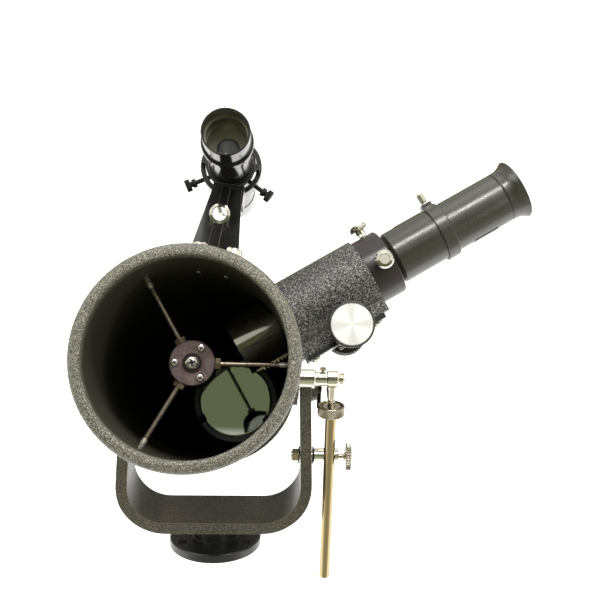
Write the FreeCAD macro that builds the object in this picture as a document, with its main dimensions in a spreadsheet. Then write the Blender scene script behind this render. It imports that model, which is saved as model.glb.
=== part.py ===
import FreeCAD, Part
import math, os
import Sketcher
from FreeCAD import Vector as V, Placement as PL, Rotation as RO

# Newtonian reflector on a yoke, alt-azimuth head.  Millimetres.
# Origin: centre of the bottom face of the azimuth base. +Z up, the tube looks
# towards -Y at rest, the focuser and the altitude rod are on the +X side.

doc = FreeCAD.newDocument("newtonian_reflector")
os.makedirs("parts", exist_ok=True)

# ---------------------------------------------------------------- dimensions
DIMS = [
    ("pivot_height", 126.0), ("rest_altitude", 21.8),
    ("tube_radius", 51.2), ("tube_wall", 1.2), ("tube_front", 276.6), ("tube_rear", 388.0),
    ("rim_front", 282.6), ("rim_radius", 54.7), ("rim_lip", 48.1), ("rim_depth", 23.0),
    ("mirror_radius", 38.0), ("mirror_thick", 9.0), ("mirror_face", 363.1),
    ("vane_plane", 235.9), ("vane_radius", 1.45), ("hub_radius", 11.6),
    ("focus_station", 186.6), ("focus_angle", 31.2),
    ("housing_radius", 21.0), ("housing_end", 107.5), ("draw_radius", 17.0), ("draw_bore", 14.0),
    ("collar_radius", 19.3), ("collar_length", 15.8), ("barrel_radius", 12.25),
    ("erector_radius", 15.4), ("eyepiece_radius", 14.9), ("knob_radius", 12.6),
    ("gear_module", 0.7), ("gear_teeth", 12), ("pinion_drop", 22.4), ("pinion_out", 83.0),
    ("finder_angle", 84.35), ("finder_reach", 125.8), ("finder_front", 226.7),
    ("ring_radius", 56.8), ("ring_half", 27.0), ("pad_face", 58.6),
    ("yoke_half", 24.1), ("yoke_gap", 63.7), ("yoke_depth", 98.8), ("yoke_strap", 8.35),
    ("yoke_corner", 27.8), ("yoke_splay", 2.14), ("head_radius", 12.0),
    ("rod_radius", 4.0), ("rod_length", 137.0), ("rod_offset", 3.5),
    ("base_radius", 34.0), ("base_flange", 7.0), ("base_height", 18.85), ("spindle_radius", 10.0),
    ("base_circle", 27.0), ("base_hole", 3.25),
]
sheet = doc.addObject("Spreadsheet::Sheet", "dims")
for i, (name, val) in enumerate(DIMS):
    sheet.set("A%d" % (i + 1), name)
    sheet.set("B%d" % (i + 1), str(val))
    sheet.setAlias("B%d" % (i + 1), name)
doc.recompute()


class Q:
    """a size that knows its value and its spreadsheet expression"""
    def __init__(self, v, e):
        self.v, self.e = float(v), e

    def __add__(self, o):
        o = q(o)
        return Q(self.v + o.v, "(%s + %s)" % (self.e, o.e))
    __radd__ = __add__

    def __sub__(self, o):
        o = q(o)
        return Q(self.v - o.v, "(%s - %s)" % (self.e, o.e))

    def __rsub__(self, o):
        return q(o) - self

    def __neg__(self):
        return Q(-self.v, "(0 - %s)" % self.e)

    def __mul__(self, k):
        return Q(self.v * k, "(%s * %.10g)" % (self.e, k))
    __rmul__ = __mul__


def q(x):
    return x if isinstance(x, Q) else Q(x, "%.10g" % x)


D = {name: Q(val, "dims." + name) for name, val in DIMS}
N = {name: val for name, val in DIMS}
NODES = []


def plane(body, role):
    for f in body.Origin.OriginFeatures:
        if f.Role == role:
            return f


def new_body(label):
    b = doc.addObject("PartDesign::Body", label)
    b.Label = label
    return b


def new_sketch(body, role="XZ_Plane", off=0.0, rot=None):
    s = body.newObject("Sketcher::SketchObject", body.Name + "_sk")
    s.AttachmentSupport = [(plane(body, role), "")]
    s.MapMode = "FlatFace"
    if off or rot:
        s.AttachmentOffset = PL(V(0, 0, off), rot or RO())
    return s


def datum(s, idx, expr):
    if any(c.isalpha() for c in expr.replace("e-", "").replace("e+", "")):
        s.setExpression("Constraints[%d]" % idx, expr)


def fix_point(s, g, pos, x, y):
    x, y = q(x), q(y)
    if abs(x.v) < 1e-9:
        s.addConstraint(Sketcher.Constraint("PointOnObject", g, pos, -2))
    else:
        i = s.addConstraint(Sketcher.Constraint("DistanceX", -1, 1, g, pos, x.v))
        datum(s, i, x.e)
    if abs(y.v) < 1e-9:
        s.addConstraint(Sketcher.Constraint("PointOnObject", g, pos, -1))
    else:
        i = s.addConstraint(Sketcher.Constraint("DistanceY", -1, 1, g, pos, y.v))
        datum(s, i, y.e)


def poly(s, pts):
    """closed polygon, every corner dimensioned from the origin"""
    n = len(pts)
    p = [(q(x), q(y)) for x, y in pts]
    first = s.GeometryCount
    for i in range(n):
        a, b = p[i], p[(i + 1) % n]
        s.addGeometry(Part.LineSegment(V(a[0].v, a[1].v, 0), V(b[0].v, b[1].v, 0)), False)
    for i in range(n):
        s.addConstraint(Sketcher.Constraint("Coincident", first + i, 2, first + (i + 1) % n, 1))
    for i in range(n):
        fix_point(s, first + i, 1, p[i][0], p[i][1])


def circle(s, x, y, r):
    x, y, r = q(x), q(y), q(r)
    g = s.addGeometry(Part.Circle(V(x.v, y.v, 0), V(0, 0, 1), r.v), False)
    i = s.addConstraint(Sketcher.Constraint("Radius", g, r.v))
    datum(s, i, r.e)
    if abs(x.v) < 1e-9 and abs(y.v) < 1e-9:
        s.addConstraint(Sketcher.Constraint("Coincident", g, 3, -1, 1))
    else:
        fix_point(s, g, 3, x, y)


def raw_poly(s, pts):
    """free polygon for toothed outlines"""
    n = len(pts)
    for i in range(n):
        s.addGeometry(Part.LineSegment(V(*pts[i], 0), V(*pts[(i + 1) % n], 0)), False)
    for i in range(n):
        s.addConstraint(Sketcher.Constraint("Coincident", i, 2, (i + 1) % n, 1))


def revolve(body, pts, groove=False):
    s = new_sketch(body)
    poly(s, pts)
    f = body.newObject("PartDesign::Groove" if groove else "PartDesign::Revolution", body.Name + "_rev")
    f.Profile = s
    f.ReferenceAxis = (s, ["V_Axis"])
    f.Angle = 360.0
    return f


def pad(body, s, length, mid=False, rev=False):
    f = body.newObject("PartDesign::Pad", body.Name + "_pad")
    f.Profile = s
    L = q(length)
    f.Length = L.v
    datum2(f, "Length", L.e)
    f.Midplane = mid
    f.Reversed = rev
    return f


def datum2(f, prop, expr):
    if any(c.isalpha() for c in expr.replace("e-", "").replace("e+", "")):
        f.setExpression(prop, expr)


def pocket(body, s, length, mid=False, rev=False):
    """length None cuts through everything, both ways"""
    doc.recompute()
    before = body.Shape.Volume
    f = body.newObject("PartDesign::Pocket", body.Name + "_cut")
    f.Profile = s
    if length is None:
        f.Type = "Length"
        f.Length = 2000.0
        f.Midplane = True
    else:
        L = q(length)
        f.Length = L.v
        datum2(f, "Length", L.e)
        f.Midplane = mid
        f.Reversed = rev
    doc.recompute()
    if body.Shape.Volume > before - 1e-3:
        raise RuntimeError("pocket cuts nothing in " + body.Label)
    return f


def polar(body, feats, n, axis="Z_Axis"):
    f = body.newObject("PartDesign::PolarPattern", body.Name + "_pp")
    f.Originals = feats
    f.Axis = (plane(body, axis), [""])
    f.Angle = 360.0
    f.Occurrences = n
    body.Tip = f
    return f


def keep(obj, label, place):
    obj.Label = label
    obj.Placement = place
    NODES.append((obj, label))
    return obj


def feature(label, shape, place=None):
    o = doc.addObject("Part::Feature", label)
    o.Shape = shape
    o.Label = label
    o.Placement = place or PL()
    NODES.append((o, label))
    return o


def turned(label, pts, place):
    b = new_body(label)
    revolve(b, pts)
    return keep(b, label, place)


def rz(a):
    return RO(V(0, 0, 1), a)


# ------------------------------------------------------------------- frames
ALT = N["rest_altitude"]
# tube frame: X = +X, Y = across the tube upwards, Z = along the tube to the front
T = PL(V(0, 0, N["pivot_height"]), RO(V(1, 0, 0), 90.0 - ALT))
# focuser frame: Z = outwards along the focuser, X = its underside, Y = to the rear
a = math.radians(N["focus_angle"])
F = T.multiply(PL(V(0, 0, N["focus_station"]),
                  RO(V(math.sin(a), -math.cos(a), 0), V(0, 0, -1), V(math.cos(a), math.sin(a), 0), "ZXY")))
# bracket frame: origin on the tube axis, Y = outwards to the finder, Z = to the front
B = T.multiply(PL(V(0, 0, 0), rz(N["finder_angle"] - 90.0)))
# finder frame: on the finder's own axis, Z = to the front
G = B.multiply(PL(V(0, N["finder_reach"], 0), RO()))


def along(frame, x=0, y=0, z=0, rot=None):
    return frame.multiply(PL(V(x, y, z), rot or RO()))


# local +Z turned onto a chosen direction
TO_X = RO(V(0, 1, 0), 90)
TO_NX = RO(V(0, 1, 0), -90)
TO_Y = RO(V(1, 0, 0), -90)
TO_NY = RO(V(1, 0, 0), 90)
DOWN = RO(V(1, 0, 0), 180)


# ---------------------------------------------------------------- primitives
def size(o, prop, val):
    val = q(val)
    setattr(o, prop, val.v)
    datum2(o, prop, val.e)


COUNT = [0]


def cyl(r, h, place=None):
    COUNT[0] += 1
    o = doc.addObject("Part::Cylinder", "cyl%d" % COUNT[0])
    size(o, "Radius", r)
    size(o, "Height", h)
    o.Placement = place or PL()
    return o


def cone(r1, r2, h, place=None):
    COUNT[0] += 1
    o = doc.addObject("Part::Cone", "cone%d" % COUNT[0])
    size(o, "Radius1", r1)
    size(o, "Radius2", r2)
    size(o, "Height", h)
    o.Placement = place or PL()
    return o


def box(x0, x1, y0, y1, z0, z1, rot=None):
    COUNT[0] += 1
    o = doc.addObject("Part::Box", "box%d" % COUNT[0])
    size(o, "Length", q(x1) - q(x0))
    size(o, "Width", q(y1) - q(y0))
    size(o, "Height", q(z1) - q(z0))
    o.Placement = PL(V(q(x0).v, q(y0).v, q(z0).v), rot or RO())
    return o


def fuse(objs):
    if len(objs) == 1:
        return objs[0]
    COUNT[0] += 1
    o = doc.addObject("Part::MultiFuse", "fuse%d" % COUNT[0])
    o.Shapes = objs
    return o


def cut(base, tools):
    COUNT[0] += 1
    o = doc.addObject("Part::Cut", "cut%d" % COUNT[0])
    o.Base = base
    o.Tool = fuse(tools)
    return o


def common(x, y):
    COUNT[0] += 1
    o = doc.addObject("Part::Common", "com%d" % COUNT[0])
    o.Base = x
    o.Tool = y
    return o


def solid(pts):
    """turned fastener: closed (r, z) outline spun about Z"""
    w = Part.makePolygon([V(q(r).v, 0, q(z).v) for r, z in pts + pts[:1]])
    return Part.Face(w).revolve(V(0, 0, 0), V(0, 0, 1), 360)


def hexa(af, h, bore=0.0):
    r = af / 2 / math.cos(math.pi / 6)
    w = Part.makePolygon([V(r * math.cos(math.pi / 3 * k), r * math.sin(math.pi / 3 * k), 0) for k in range(7)])
    s = Part.Face(w).extrude(V(0, 0, h))
    if bore:
        s = s.cut(Part.makeCylinder(bore, h + 2, V(0, 0, -1)))
    return s


def group(label, shape, frame, places):
    """identical fasteners kept as one node of separate solids"""
    out = []
    for p in places:
        c = shape.copy()
        c.Placement = p
        out.append(c)
    return feature(label, Part.makeCompound(out), frame)


def radial(ang, r, z):
    """place local +Z pointing outwards at an angle about the frame's Z"""
    aa = math.radians(ang)
    return PL(V(r * math.cos(aa), r * math.sin(aa), z), rz(ang).multiply(TO_X))


def pan(r, h, shank, length):
    """pan-head screw, seat at z = 0, shank downwards"""
    return solid([(0, -length), (shank, -length), (shank, 0), (r, 0), (r, h * 0.45), (r * 0.8, h * 0.85), (r * 0.45, h), (0, h)])


def phillips(r, h, shank, length):
    s = pan(r, h, shank, length)
    w = r * 0.26
    for k in (0, 90):
        b = Part.makeBox(r * 1.15, w, h * 0.6, V(-r * 0.575, -w / 2, h * 0.5))
        b.rotate(V(0, 0, 0), V(0, 0, 1), k)
        s = s.cut(b)
    return s

# ==================================================================== tube
tr, tw = D["tube_radius"], D["tube_wall"]
TZ = N["tube_rear"]                    # tube blank runs from z = 0 at the rear end
fa = N["focus_angle"]
SF, VP = N["focus_station"], N["vane_plane"]
STUD_S, STUD_A = 218.0, (90.0, 73.0)   # bracket screws: station, angles round the tube
ports = [cyl(tr - tw, D["tube_front"] + D["tube_rear"] + 20.0, PL(V(0, 0, -10), RO())),
         cyl(D["draw_radius"] + 3.2, 40.0, radial(fa, 30.0, TZ + SF))]
for k in (0, 120, 240):
    ports.append(cyl(1.6, 12.0, radial(k, 44.0, TZ + VP)))
for k in STUD_A:
    ports.append(cyl(2.05, 16.0, radial(k, 42.0, TZ + STUD_S)))
keep(cut(cyl(tr, D["tube_front"] + D["tube_rear"]), ports), "optical_tube", along(T, z=-TZ))

rr, rl, rd = D["rim_radius"], D["rim_lip"], D["rim_depth"]
turned("front_ring", [(rl, rd - 7.0), (rl, rd - 1.6), (rl + 0.5, rd - 0.5), (rl + 1.6, rd), (rl + 3.4, rd),
                      (rl + 5.3, rd - 1.1), (rr - 0.2, rd - 3.2), (rr, rd - 5.2), (rr, 1.0), (rr - 0.8, 0),
                      (tr, 0), (tr, rd - 6.0), (tr - tw, rd - 6.0), (tr - tw, rd - 7.0)],
       along(T, z=N["rim_front"] - N["rim_depth"]))

# rear cell: a shallow cup closing the tube
RC = -TZ - 9.0                         # its outer face
rc = new_body("rear_cell")
revolve(rc, [(0, 0), (rr - 2.0, 0), (rr, 2.0), (rr, 26.0), (rr - 0.8, 27.0), (tr, 27.0), (tr, 9.0), (tr - 3.0, 9.0), (tr - 3.0, 4.0), (0, 4.0)])
s = new_sketch(rc, "XY_Plane")
for k in range(3):
    aa = math.radians(90 + 120 * k)
    circle(s, 30.0 * math.cos(aa), 30.0 * math.sin(aa), 2.1)
pocket(rc, s, None)
keep(rc, "rear_cell", along(T, z=RC))

# ------------------------------------------------------------ primary mirror
mr, mt = D["mirror_radius"], D["mirror_thick"]
Z0 = -(N["mirror_face"] + N["mirror_thick"])          # back of the mirror
turned("primary_mirror", [(0, 0), (mr, 0), (mr, mt), (mr - 0.7, mt + 0.52), (mr * 0.75, mt + 0.29), (mr * 0.5, mt + 0.13), (mr * 0.25, mt + 0.03), (0, mt)],
       along(T, z=Z0))
cp = new_body("mirror_cell_plate")
revolve(cp, [(9.0, 0), (44.0, 0), (44.0, 3.0), (9.0, 3.0)])
s = new_sketch(cp, "XY_Plane")
for k in range(3):
    aa = math.radians(90 + 120 * k)
    circle(s, 30.0 * math.cos(aa), 30.0 * math.sin(aa), 2.0)
pocket(cp, s, None)
CPZ = Z0 - 4.5
s = new_sketch(cp, "XY_Plane", 2.0)
circle(s, 0, -26.0, 5.0)
p0 = pad(cp, s, 2.5)
doc.recompute()
polar(cp, [p0], 3)
keep(cp, "mirror_cell_plate", along(T, z=CPZ))
clips = new_body("mirror_clips")
s = new_sketch(clips, "YZ_Plane")
poly(s, [(mr + 0.2, 0), (mr + 5.8, 0), (mr + 5.8, 1.2), (mr + 1.4, 1.2), (mr + 1.4, mt + 3.4), (mr - 2.4, mt + 3.4), (mr - 2.4, mt + 2.2), (mr + 0.2, mt + 2.2)])
p0 = pad(clips, s, 8.0, mid=True)
doc.recompute()
polar(clips, [p0], 3)
keep(clips, "mirror_clips", along(T, z=Z0 - 1.5))
SMALL = []                             # small pan-head screws, all fixed to the tube assembly
for k in range(3):
    SMALL.append((pan(1.8, 1.3, 0.9, 0.0), along(T, x=41.6 * math.cos(math.radians(90 + 120 * k)), y=41.6 * math.sin(math.radians(90 + 120 * k)), z=Z0 - 0.3)))
group("collimation_screws", solid([(0, 0), (4.6, 0), (5.2, 0.8), (5.2, 5.2), (4.6, 6.0), (2.0, 6.0), (2.0, CPZ + 2.6 - RC + 6.0), (0, CPZ + 2.6 - RC + 6.0)]),
      along(T, z=RC - 6.0), [PL(V(30 * math.cos(math.radians(90 + 120 * k)), 30 * math.sin(math.radians(90 + 120 * k)), 0), RO()) for k in range(3)])
# one rubber bush round each collimation screw, squeezed between cell and plate
gap = CPZ - (RC + 4.0)
group("collimation_bushes", solid([(2.3, 0), (4.8, 0), (5.2, 0.5), (5.2, gap - 0.5), (4.8, gap), (2.3, gap)]), along(T, z=RC + 4.0),
      [PL(V(30 * math.cos(math.radians(90 + 120 * k)), 30 * math.sin(math.radians(90 + 120 * k)), 0), RO()) for k in range(3)])

# ------------------------------------------------- spider and secondary mirror
vr, hr = D["vane_radius"], D["hub_radius"]
HB = VP - 4.4                          # rear face of the hub body
HF = VP + 1.7                          # front face of the hub body
hubcuts = [cyl(1.6, 20.0, PL(V(0, 0, -5), RO()))]
for k in (0, 120, 240):
    hubcuts.append(cyl(vr, 12.0, radial(k, 4.5, VP - HB)))
for k in (60, 180, 300):
    hubcuts.append(cyl(1.05, 20.0, PL(V(8.7 * math.cos(math.radians(k)), 8.7 * math.sin(math.radians(k)), -5), RO())))
hb = new_body("hub_blank")
hz = HF - HB
revolve(hb, [(0, 0), (hr - 0.6, 0), (hr - 0.6, hz), (hr, hz), (hr, hz + 1.6), (hr - 0.4, hz + 2.0), (0, hz + 2.0)])
keep(cut(hb, hubcuts), "spider_hub", along(T, z=HB))
group("spider_rods", solid([(0, 4.5), (vr, 4.5), (vr, 45.2), (2.15, 45.6), (2.15, 49.7), (1.5, 49.7), (1.5, 46.6), (0, 46.6)]), along(T, z=VP), [radial(k, 0, 0) for k in (0, 120, 240)])
group("spider_nuts", hexa(5.5, 2.6, N["vane_radius"]), along(T, z=VP), [radial(k, N["hub_radius"] + 0.05, 0) for k in (0, 120, 240)])
for k in (0, 120, 240):
    SMALL.append((pan(3.2, 2.0, 1.5, 4.4), along(T, z=VP).multiply(radial(k, N["tube_radius"], 0))))
tilt = phillips(2.0, 1.5, 1.0, HF + 2.0 - 228.0)
mid = phillips(3.4, 2.2, 1.5, 26.8).fuse(Part.makeCylinder(4.9, 0.8, V(0, 0, -0.8)))
out = []
for k in (60, 180, 300):
    c = tilt.copy()
    c.Placement = PL(V(8.7 * math.cos(math.radians(k)), 8.7 * math.sin(math.radians(k)), 0), rz(k + 20))
    out.append(c)
mid.Placement = PL(V(0, 0, 0.8), rz(12))
feature("secondary_screws", Part.makeCompound([mid] + out), along(T, z=HF + 2.0))
# the holder is a cylinder cut at 45 degrees, and the flat is glued on the cut
half = RO(V(1, 0, 0), 45)              # local Z onto the mirror's normal, seen in the focuser frame
nv = V(0, 1, 1)
nv.normalize()
slabrot = RO(V(0, 0, 1), nv)
hold = cyl(10.0, 70.0, PL(V(0, 28.0, 0), TO_NY))
blk = box(-20, 20, -30, 30, -60.0, -2.5)
blk.Placement = PL(V(0, 0, 0), slabrot).multiply(PL(V(-20, -30, -60.0), RO()))
holder = cut(common(hold, blk), [cyl(1.5, 24.0, PL(V(0, -(228.0 - SF) + 16.0, 0), TO_NY)),
                                 box(-20, 20, -60.0, -(228.0 - SF), -20, 20)])
keep(holder, "secondary_holder", F)
slab = box(-20, 20, -30, 30, -2.5, 0.0)
slab.Placement = PL(V(0, 0, 0), slabrot).multiply(PL(V(-20, -30, -2.5), RO()))
keep(common(cyl(9.6, 60.0, PL(V(0, 30.0, 0), TO_NY)), slab), "secondary_mirror", F)

# ================================================================== focuser
hR, hE, dR = D["housing_radius"], D["housing_end"], D["draw_radius"]
px, pz = D["pinion_drop"], D["pinion_out"]
m = N["gear_module"]
zt = N["gear_teeth"]
rp = m * zt / 2.0
KB = 24.6                              # underside of the keel
housing = cut(fuse([cyl(hR, hE - 38.0, PL(V(0, 0, 38.0), RO())),
                    box(6.0, KB, -12.0, 12.0, 44.0, hE),
                    box(-24.0, 24.0, -27.0, 27.0, 38.0, 53.0)]),
              [cyl(tr, 120.0, PL(V(0, -60.0, 0), TO_Y)),
               cyl(dR + 0.08, hE, PL(V(0, 0, 10.0), RO())),
               box(0.0, 20.4, -3.4, 3.4, 30.0, hE + 5.0),
               box(12.0, KB + 1.0, -5.2, 5.2, N["pinion_out"] - 6.2, N["pinion_out"] + 6.2),
               cyl(2.56, 60.0, PL(V(N["pinion_drop"], -30.0, N["pinion_out"]), TO_Y))])
keep(housing, "focuser_housing", F)
cover = cut(fuse([box(KB, KB + 2.8, -11.0, 11.0, 54.0, 104.0),
                  box(KB + 2.0, KB + 5.4, -8.0, 8.0, N["pinion_out"] - 9.0, N["pinion_out"] + 9.0)]),
            [cyl(2.56, 60.0, PL(V(N["pinion_drop"], -30.0, N["pinion_out"]), TO_Y)),
             box(KB - 1.0, KB + 3.4, -5.2, 5.2, N["pinion_out"] - 6.2, N["pinion_out"] + 6.2)])
keep(cover, "pinion_cover", F)
for y in (-7.0, 7.0):
    for z in (59.0, 99.0):
        SMALL.append((pan(2.2, 1.5, 1.1, 0.0), along(F, x=KB + 2.8, y=y, z=z, rot=TO_X)))
dt = new_body("drawtube")
revolve(dt, [(D["draw_bore"], 0), (dR, 0), (dR, 88.7), (D["draw_bore"], 88.7)])
DT0 = 24.0
keep(dt, "drawtube", along(F, z=DT0))
# rack: teeth face the underside, pitch line one pitch radius above the pinion axis
pitch = math.pi * m
xp = N["pinion_drop"] - rp
R0, R1 = 27.0, 106.0
tipx, rootx = xp + 0.8 * m, xp - 1.0 * m
hw = 0.21 * pitch
ta = math.tan(math.radians(20))
out = [(15.5, R0), (rootx, R0)]
k0 = int(math.ceil((R0 - N["pinion_out"]) / pitch - 0.5)) + 1
kk = k0
while N["pinion_out"] + (kk + 0.5) * pitch + 1.0 < R1:
    zc = N["pinion_out"] + (kk + 0.5) * pitch
    if zc - 1.0 > R0:
        out += [(rootx, zc - hw - 1.0 * m * ta), (tipx, zc - hw + 0.8 * m * ta), (tipx, zc + hw - 0.8 * m * ta), (rootx, zc + hw + 1.0 * m * ta)]
    kk += 1
out += [(rootx, R1), (15.5, R1)]
rack = new_body("rack_blank")
s = new_sketch(rack, "XZ_Plane")
raw_poly(s, out)
pad(rack, s, 6.0, mid=True)
doc.recompute()
keep(cut(rack, [cyl(dR, 200.0, PL(V(0, 0, 0), RO()))]), "focus_rack", F)
# pinion: twelve involute teeth cut on the middle of the shaft
rb = rp * math.cos(math.radians(20))
inv = lambda x: math.tan(x) - x
psi_p = 0.21 * pitch / rp
ra, rf = rp + 0.8 * m, rp - 1.15 * m
flank = [(rf, psi_p + inv(math.radians(20)))]
for r in (rb, rb + 0.08, rp, (rp + ra) / 2, ra):
    al = math.acos(min(1.0, rb / r))
    flank.append((r, psi_p + inv(math.radians(20)) - inv(al)))
gp = []
for k in range(zt):
    c = math.pi + 2 * math.pi * k / zt
    gp += [(r * math.cos(c - w), r * math.sin(c - w)) for r, w in flank]
    gp += [(r * math.cos(c + w), r * math.sin(c + w)) for r, w in reversed(flank)]
pin = new_body("pinion_shaft")
s = new_sketch(pin, "XZ_Plane")
raw_poly(s, gp)
pad(pin, s, 9.0, mid=True)
s = new_sketch(pin, "XZ_Plane")
circle(s, 0, 0, 2.5)
pad(pin, s, 59.0, mid=True)
keep(pin, "pinion_shaft", along(F, x=N["pinion_drop"], z=N["pinion_out"]))
kr = D["knob_radius"]
knob = [(2.5, 0), (6.0, 0), (7.0, 1.0), (7.0, 3.6), (kr - 1.0, 3.6), (kr - 0.3, 4.3), (kr - 0.3, 10.4), (kr, 10.8), (kr, 11.7), (kr - 0.4, 12.1), (kr - 1.0, 12.1), (kr - 1.0, 11.0), (2.5, 11.0)]
KN = along(F, x=N["pinion_drop"], z=N["pinion_out"])
group("focus_knobs", solid(knob), KN, [PL(V(0, -18.5, 0), TO_NY), PL(V(0, 18.5, 0), TO_Y)])
group("knob_faces", solid([(0, 0), (kr - 1.05, 0), (kr - 1.05, 0.7), (kr - 1.35, 1.0), (0, 1.0)]), KN, [PL(V(0, -29.5, 0), TO_NY), PL(V(0, 29.5, 0), TO_Y)])
# eyepiece collar on the drawtube's outer end
cR, bR = D["collar_radius"], D["barrel_radius"]
C0 = 107.7
collar = new_body("collar_blank")
revolve(collar, [(dR, 0), (cR - 0.3, 0), (cR, 0.3), (cR, 15.0), (cR - 0.7, 15.6), (bR + 0.05, 15.6), (bR + 0.05, 5.0), (dR, 5.0)])
collar.Placement = PL(V(0, 0, C0), RO())
keep(cut(collar, [cyl(2.02, 20.0, PL(V(0, 0, C0 + 9.5), TO_NX)), cyl(2.02, 20.0, PL(V(0, 0, C0 + 9.5), TO_NY))]), "eyepiece_collar", F)
screw = [(0, 12.6), (1.5, 12.6), (1.9, 13.0), (1.9, 19.7), (3.3, 19.7), (2.7, 21.2), (2.9, 23.0), (4.9, 23.6), (5.3, 24.4), (5.3, 25.8), (4.6, 26.9), (3.0, 27.2), (2.8, 26.3), (0, 26.3)]
turned("collar_screw_top", screw, along(F, z=C0 + 9.5, rot=TO_NX))
turned("collar_screw_front", screw, along(F, z=C0 + 9.5, rot=TO_NY))
# erector tube
eR = D["erector_radius"]
er = new_body("erector_blank")
revolve(er, [(10.4, 0), (bR, 0), (bR, 24.0), (13.4, 24.0), (eR, 26.6), (eR, 54.5), (bR + 0.05, 54.5), (bR + 0.05, 33.0), (10.4, 33.0)])
E0 = 100.0
er.Placement = PL(V(0, 0, E0), RO())
keep(er, "erector_tube", along(F, z=E0))
lens = [(0, 0.6), (10.4, 2.4), (10.4, 4.0), (0, 6.0)]
group("erector_lenses", solid(lens), F, [PL(V(0, 0, 103.0), RO()), PL(V(0, 0, 118.0), RO())])
ring = new_body("ring_blank")
revolve(ring, [(bR + 0.05, 0), (eR + 1.1, 0), (eR + 1.3, 0.3), (eR + 1.3, 7.0), (eR + 1.0, 7.5), (bR + 0.05, 7.5)])
ring.Placement = PL(V(0, 0, 154.5), RO())
lug = box(-(eR + 3.0), -(bR + 0.6), -2.9, 2.9, 155.2, 161.6)
keep(cut(fuse([ring, lug]), [cyl(bR + 0.05, 12.0, PL(V(0, 0, 152.0), RO())), cyl(1.52, 20.0, PL(V(0, 0, 158.4), TO_NX))]), "clamp_ring", F)
turned("clamp_ring_screw", [(0, 12.6), (1.4, 12.6), (1.4, 18.5), (2.1, 18.5), (1.7, 19.2), (2.1, 19.9), (2.1, 24.6), (1.6, 25.4), (0, 25.6)], along(F, z=158.4, rot=TO_NX))
# eyepiece
pR = D["eyepiece_radius"]
turned("eyepiece_body", [(10.9, 0), (bR, 0), (bR, 28.2), (pR - 0.3, 28.2), (pR, 28.5), (pR, 64.6), (pR - 0.5, 65.0), (10.9, 65.0)], along(F, z=134.0))
turned("eyecup", [(9.4, 0), (pR - 0.2, 0), (pR, 0.3), (pR + 0.1, 4.0), (pR + 0.8, 7.4), (pR + 2.6, 9.9), (pR + 3.0, 10.5), (pR + 2.4, 10.8), (pR - 0.2, 8.4), (9.4, 6.0)], along(F, z=199.0))
group("eyepiece_lenses", solid([(0, 0.2), (10.9, 1.8), (10.9, 3.4), (0, 4.6)]), F, [PL(V(0, 0, 146.0), RO()), PL(V(0, 0, 190.0), RO())])

# =================================================================== finder
FF = N["finder_front"]
turned("finder_objective_cell", [(12.0, 0), (14.3, 0), (14.7, 0.4), (14.7, 3.6), (14.2, 4.2), (13.4, 4.4), (13.4, 23.0), (13.0, 23.7), (12.4, 23.7), (12.1, 22.6), (12.1, 12.0), (11.4, 12.0), (11.4, 9.6), (11.9, 9.6), (11.9, 6.0), (12.0, 6.0)], along(G, z=FF - 23.7))
turned("finder_objective_lens", [(0, 0), (11.4, 1.4), (11.85, 1.4), (11.85, 3.0), (11.4, 3.0), (0, 4.6)], along(G, z=FF - 23.7 + 6.4))
ft = new_body("finder_tube_blank")
revolve(ft, [(11.4, 0), (12.6, 0), (12.6, 118.0), (11.4, 118.0), (11.4, 104.4), (6.6, 104.4), (6.0, 103.0), (11.4, 103.0)])
bead = doc.addObject("Part::Sphere", "seat_bead")     # round seat that rocks in the rear bracket ring
bead.Radius = 13.3
zb = 158.0 - (FF - 141.7)
bead.Placement = PL(V(0, 0, zb), RO())
band = cut(cyl(14.0, 5.0, PL(V(0, 0, zb - 2.5), RO())), [cyl(12.1, 7.0, PL(V(0, 0, zb - 3.5), RO()))])
keep(fuse([ft, common(band, bead)]), "finder_tube", along(G, z=FF - 141.7))
turned("finder_eyepiece", [(8.0, 0), (12.2, 0), (13.0, 0.8), (13.0, 22.0), (12.4, 22.8), (11.32, 22.8), (11.32, 42.0), (10.2, 42.0), (10.2, 6.0), (8.0, 6.0)], along(G, z=FF - 141.7 - 23.1))
turned("finder_eye_lens", [(0, 0.4), (10.2, 1.6), (10.2, 3.0), (0, 4.6)], along(G, z=FF - 141.7 - 23.1 + 6.0))
ov = N["finder_reach"]
ringA = cut(cyl(18.4, 10.0, PL(V(0, ov, 141.0), RO())), [cyl(15.4, 12.0, PL(V(0, ov, 140.0), RO()))])
ringB = cut(cyl(14.9, 6.0, PL(V(0, ov, 155.0), RO())), [cyl(13.35, 8.0, PL(V(0, ov, 154.0), RO()))])
ribs = []
for k in (0, 90, 180, 270):
    b = box(0, 3.0, -1.7, 1.7, 0, 16.0)
    b.Placement = PL(V(0, ov, 143.0), rz(k)).multiply(PL(V(14.3, -1.7, 0), RO()))
    ribs.append(b)
# leaning stalk: a tapered plate with a web behind it, foot forward of the rings
lean = math.degrees(math.atan(0.893))
SK = PL(V(1.2, 54.0, 212.6), RO(V(1, 0, 0), -lean))     # local Z = plate thickness, Y = up the stalk
stk = new_body("stalk_plate")
s = new_sketch(stk, "XY_Plane")
poly(s, [(-14.6, 0.0), (14.2, 0.0), (7.6, 74.0), (-9.4, 74.0)])
pad(stk, s, 4.0, rev=True)
stk.Placement = SK
web = new_body("stalk_web")
s = new_sketch(web, "YZ_Plane")
poly(s, [(0.0, -16.0), (74.0, -16.0), (74.0, -2.0), (0.0, -2.0)])
pad(web, s, 4.2, mid=True)
web.Placement = SK
block = box(-8.2, 10.2, 101.0, 112.0, 141.0, 163.5)
foot = box(-17.0, 21.0, 44.0, 56.0, 190.0, 226.0)
rib = new_body("stalk_rib")
s = new_sketch(rib, "XY_Plane")
poly(s, [(-4.6, 0.0), (1.4, 0.0), (1.0, 74.0), (-4.0, 74.0)])
pad(rib, s, 1.5)
rib.Placement = SK
doc.recompute()
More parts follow.
